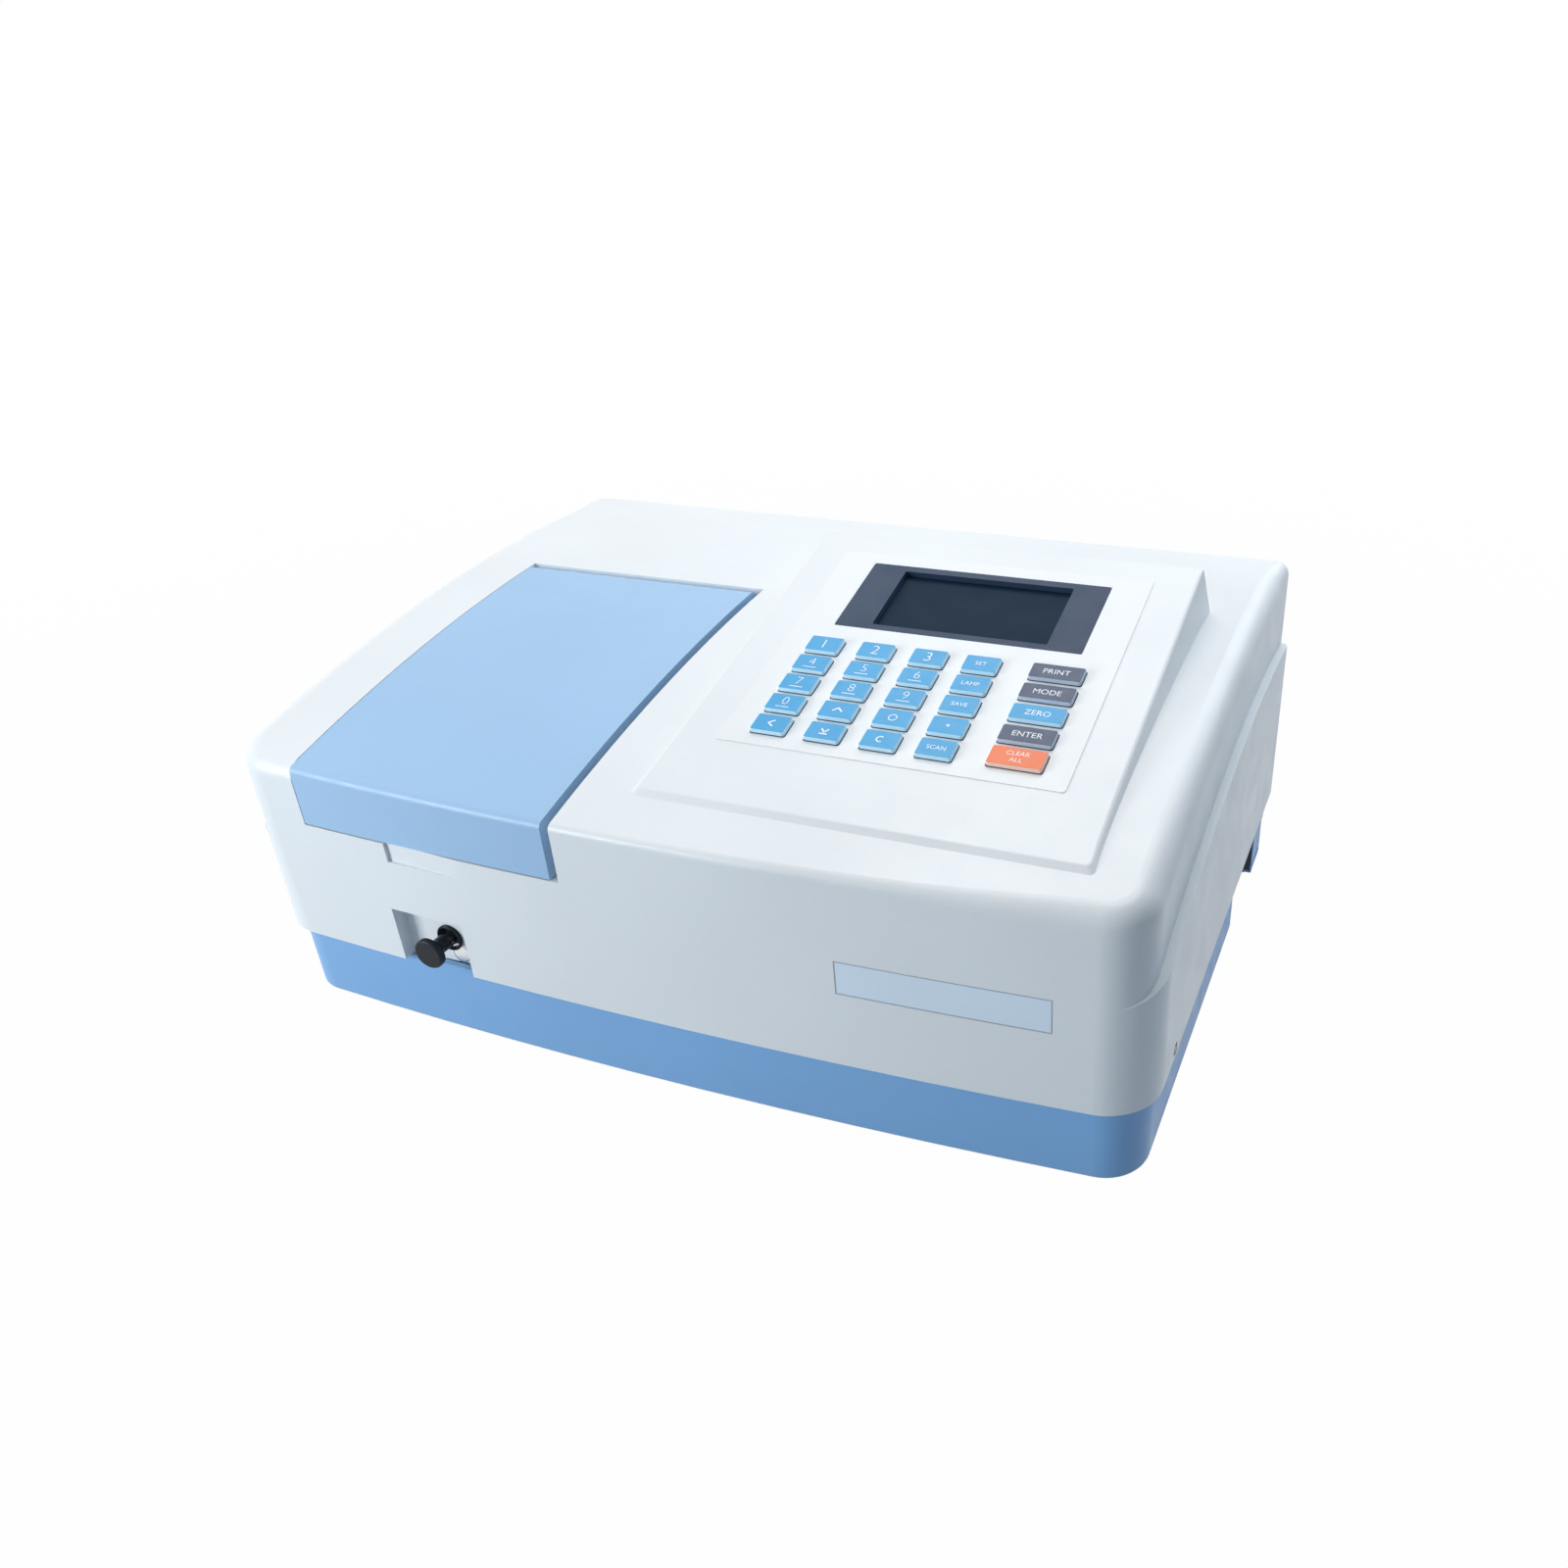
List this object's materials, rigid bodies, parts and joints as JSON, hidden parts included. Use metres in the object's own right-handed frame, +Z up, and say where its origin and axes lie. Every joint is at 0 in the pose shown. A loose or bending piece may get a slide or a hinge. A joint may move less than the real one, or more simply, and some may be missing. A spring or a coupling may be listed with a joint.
{
  "type": "spectrophotometer",
  "caption": "Bench spectrophotometer with a hinged sample lid, a pull-rod cell changer, a sloping console of push keys and a recessed screen, over a pan base with hand-holds.",
  "frame": {"origin": "on the bench under the middle of the whole instrument, halfway from the pull knob to the rear bumpers", "axes": "+Z up, the front with the pull knob faces -Y, +X to the right seen from the front"},
  "size_m": [0.46, 0.337, 0.2078],
  "materials": {
    "cover_white": "fine pebbled paint",
    "base_blue": "fine pebbled paint",
    "lid_blue": "fine pebbled paint",
    "plate_grey": "satin",
    "liner_black": "flat black",
    "ground_steel": "ground",
    "black_moulding": "polished",
    "label_white": "satin film",
    "bezel_slate": "satin",
    "screen_dark": "glossy",
    "board_green": "solder mask",
    "key_blue": "semi-gloss",
    "key_dark": "semi-gloss",
    "key_orange": "semi-gloss",
    "panel_steel": "powder coat",
    "inlet_black": "moulded",
    "port_metal": "plated",
    "fan_black": "moulded",
    "casting_grey": "cast and painted",
    "carriage_black": "black anodised",
    "cell_glass": "optical polish",
    "mirror_face": "polished",
    "grating_face": "ruled",
    "filter_frame": "anodised",
    "lamp_tin": "plain sheet",
    "lamp_glass": "quartz",
    "supply_steel": "plated sheet",
    "foot_rubber": "matt",
    "switch_red": "moulded"
  },
  "bodies": {
    "case": {"top_cover": "cover_white", "nameplate": "plate_grey", "base_tray": "base_blue", "chamber_liner": "liner_black", "guide_rods": "ground_steel", "rod_bushing": "black_moulding", "keypad_overlay": "label_white", "display_bezel": "bezel_slate", "display_glass": "screen_dark", "keypad_board": "board_green", "rear_panel": "panel_steel", "power_inlet": "inlet_black", "data_ports": "port_metal", "fan_frame": "fan_black", "monochromator_case": "casting_grey", "collimating_mirrors": "mirror_face", "lamp_house": "lamp_tin", "deuterium_lamp": "lamp_glass", "halogen_lamp": "lamp_glass", "detector": "carriage_black", "main_board": "board_green", "power_supply": "supply_steel", "feet": "foot_rubber", "rear_bumpers": "foot_rubber", "cover_screws": "ground_steel"},
    "lid": {"sample_lid": "lid_blue"},
    "cell_changer": {"cell_carriage": "carriage_black", "cuvettes": "cell_glass", "pull_rod": "ground_steel", "pull_knob": "black_moulding"},
    "grating": {"grating_turntable": "grating_face"},
    "filters": {"filter_wheel": "filter_frame"},
    "lamp_selector": {"source_mirror": "mirror_face"},
    "fan": {"fan_rotor": "fan_black"},
    "rocker": {"power_switch": "switch_red"},
    "key_1_1": {"key_1_1": "key_blue"},
    "key_1_2": {"key_1_2": "key_blue"},
    "key_1_3": {"key_1_3": "key_blue"},
    "key_1_4": {"key_1_4": "key_blue"},
    "key_2_1": {"key_2_1": "key_blue"},
    "key_2_2": {"key_2_2": "key_blue"},
    "key_2_3": {"key_2_3": "key_blue"},
    "key_2_4": {"key_2_4": "key_blue"},
    "key_3_1": {"key_3_1": "key_blue"},
    "key_3_2": {"key_3_2": "key_blue"},
    "key_3_3": {"key_3_3": "key_blue"},
    "key_3_4": {"key_3_4": "key_blue"},
    "key_4_1": {"key_4_1": "key_blue"},
    "key_4_2": {"key_4_2": "key_blue"},
    "key_4_3": {"key_4_3": "key_blue"},
    "key_4_4": {"key_4_4": "key_blue"},
    "key_5_1": {"key_5_1": "key_blue"},
    "key_5_2": {"key_5_2": "key_blue"},
    "key_5_3": {"key_5_3": "key_blue"},
    "key_5_4": {"key_5_4": "key_blue"},
    "key_wide_1": {"key_wide_1": "key_dark"},
    "key_wide_2": {"key_wide_2": "key_dark"},
    "key_wide_3": {"key_wide_3": "key_blue"},
    "key_wide_4": {"key_wide_4": "key_dark"},
    "key_wide_5": {"key_wide_5": "key_orange"}
  },
  "joints": [
    {"name": "lid_hinge", "type": "hinge", "parent": "case", "child": "lid", "pos_m": [-0.1125, 0.0309, 0.17413], "axis": [-1, 0, 0], "range_deg": [0, 85]},
    {"name": "cell_slide", "type": "slide", "parent": "case", "child": "cell_changer", "axis": [0, -1, 0], "range_m": [0, 0.06]},
    {"name": "grating_turn", "type": "hinge", "parent": "case", "child": "grating", "pos_m": [0.05, -0.06, 0.04], "axis": [0, 0, 1], "range_deg": [-25, 45]},
    {"name": "filter_turn", "type": "hinge", "parent": "case", "child": "filters", "pos_m": [0.1055, -0.02, 0.096], "axis": [1, 0, 0], "continuous": true},
    {"name": "lamp_mirror_turn", "type": "hinge", "parent": "case", "child": "lamp_selector", "pos_m": [0.15, -0.02, 0.06], "axis": [0, 0, 1], "range_deg": [0, 70]},
    {"name": "fan_spin", "type": "hinge", "parent": "case", "child": "fan", "pos_m": [0.16, 0.1483, 0.092], "axis": [0, 1, 0], "continuous": true},
    {"name": "mains_rocker", "type": "hinge", "parent": "case", "child": "rocker", "pos_m": [-0.16, 0.1568, 0.09], "axis": [-1, 0, 0], "range_deg": [0, 16]},
    {"name": "key_1_1_press", "type": "slide", "parent": "case", "child": "key_1_1", "axis": [0, 0.2768, -0.9609], "range_m": [0, 0.001], "stiffness_N_per_m": 500, "springref_m": -0.001},
    {"name": "key_1_2_press", "type": "slide", "parent": "case", "child": "key_1_2", "axis": [0, 0.2768, -0.9609], "range_m": [0, 0.001], "stiffness_N_per_m": 500, "springref_m": -0.001},
    {"name": "key_1_3_press", "type": "slide", "parent": "case", "child": "key_1_3", "axis": [0, 0.2768, -0.9609], "range_m": [0, 0.001], "stiffness_N_per_m": 500, "springref_m": -0.001},
    {"name": "key_1_4_press", "type": "slide", "parent": "case", "child": "key_1_4", "axis": [0, 0.2768, -0.9609], "range_m": [0, 0.001], "stiffness_N_per_m": 500, "springref_m": -0.001},
    {"name": "key_2_1_press", "type": "slide", "parent": "case", "child": "key_2_1", "axis": [0, 0.2768, -0.9609], "range_m": [0, 0.001], "stiffness_N_per_m": 500, "springref_m": -0.001},
    {"name": "key_2_2_press", "type": "slide", "parent": "case", "child": "key_2_2", "axis": [0, 0.2768, -0.9609], "range_m": [0, 0.001], "stiffness_N_per_m": 500, "springref_m": -0.001},
    {"name": "key_2_3_press", "type": "slide", "parent": "case", "child": "key_2_3", "axis": [0, 0.2768, -0.9609], "range_m": [0, 0.001], "stiffness_N_per_m": 500, "springref_m": -0.001},
    {"name": "key_2_4_press", "type": "slide", "parent": "case", "child": "key_2_4", "axis": [0, 0.2768, -0.9609], "range_m": [0, 0.001], "stiffness_N_per_m": 500, "springref_m": -0.001},
    {"name": "key_3_1_press", "type": "slide", "parent": "case", "child": "key_3_1", "axis": [0, 0.2768, -0.9609], "range_m": [0, 0.001], "stiffness_N_per_m": 500, "springref_m": -0.001},
    {"name": "key_3_2_press", "type": "slide", "parent": "case", "child": "key_3_2", "axis": [0, 0.2768, -0.9609], "range_m": [0, 0.001], "stiffness_N_per_m": 500, "springref_m": -0.001},
    {"name": "key_3_3_press", "type": "slide", "parent": "case", "child": "key_3_3", "axis": [0, 0.2768, -0.9609], "range_m": [0, 0.001], "stiffness_N_per_m": 500, "springref_m": -0.001},
    {"name": "key_3_4_press", "type": "slide", "parent": "case", "child": "key_3_4", "axis": [0, 0.2768, -0.9609], "range_m": [0, 0.001], "stiffness_N_per_m": 500, "springref_m": -0.001},
    {"name": "key_4_1_press", "type": "slide", "parent": "case", "child": "key_4_1", "axis": [0, 0.2768, -0.9609], "range_m": [0, 0.001], "stiffness_N_per_m": 500, "springref_m": -0.001},
    {"name": "key_4_2_press", "type": "slide", "parent": "case", "child": "key_4_2", "axis": [0, 0.2768, -0.9609], "range_m": [0, 0.001], "stiffness_N_per_m": 500, "springref_m": -0.001},
    {"name": "key_4_3_press", "type": "slide", "parent": "case", "child": "key_4_3", "axis": [0, 0.2768, -0.9609], "range_m": [0, 0.001], "stiffness_N_per_m": 500, "springref_m": -0.001},
    {"name": "key_4_4_press", "type": "slide", "parent": "case", "child": "key_4_4", "axis": [0, 0.2768, -0.9609], "range_m": [0, 0.001], "stiffness_N_per_m": 500, "springref_m": -0.001},
    {"name": "key_5_1_press", "type": "slide", "parent": "case", "child": "key_5_1", "axis": [0, 0.2768, -0.9609], "range_m": [0, 0.001], "stiffness_N_per_m": 500, "springref_m": -0.001},
    {"name": "key_5_2_press", "type": "slide", "parent": "case", "child": "key_5_2", "axis": [0, 0.2768, -0.9609], "range_m": [0, 0.001], "stiffness_N_per_m": 500, "springref_m": -0.001},
    {"name": "key_5_3_press", "type": "slide", "parent": "case", "child": "key_5_3", "axis": [0, 0.2768, -0.9609], "range_m": [0, 0.001], "stiffness_N_per_m": 500, "springref_m": -0.001},
    {"name": "key_5_4_press", "type": "slide", "parent": "case", "child": "key_5_4", "axis": [0, 0.2768, -0.9609], "range_m": [0, 0.001], "stiffness_N_per_m": 500, "springref_m": -0.001},
    {"name": "key_wide_1_press", "type": "slide", "parent": "case", "child": "key_wide_1", "axis": [0, 0.2768, -0.9609], "range_m": [0, 0.001], "stiffness_N_per_m": 500, "springref_m": -0.001},
    {"name": "key_wide_2_press", "type": "slide", "parent": "case", "child": "key_wide_2", "axis": [0, 0.2768, -0.9609], "range_m": [0, 0.001], "stiffness_N_per_m": 500, "springref_m": -0.001},
    {"name": "key_wide_3_press", "type": "slide", "parent": "case", "child": "key_wide_3", "axis": [0, 0.2768, -0.9609], "range_m": [0, 0.001], "stiffness_N_per_m": 500, "springref_m": -0.001},
    {"name": "key_wide_4_press", "type": "slide", "parent": "case", "child": "key_wide_4", "axis": [0, 0.2768, -0.9609], "range_m": [0, 0.001], "stiffness_N_per_m": 500, "springref_m": -0.001},
    {"name": "key_wide_5_press", "type": "slide", "parent": "case", "child": "key_wide_5", "axis": [0, 0.2768, -0.9609], "range_m": [0, 0.001], "stiffness_N_per_m": 500, "springref_m": -0.001}
  ]
}
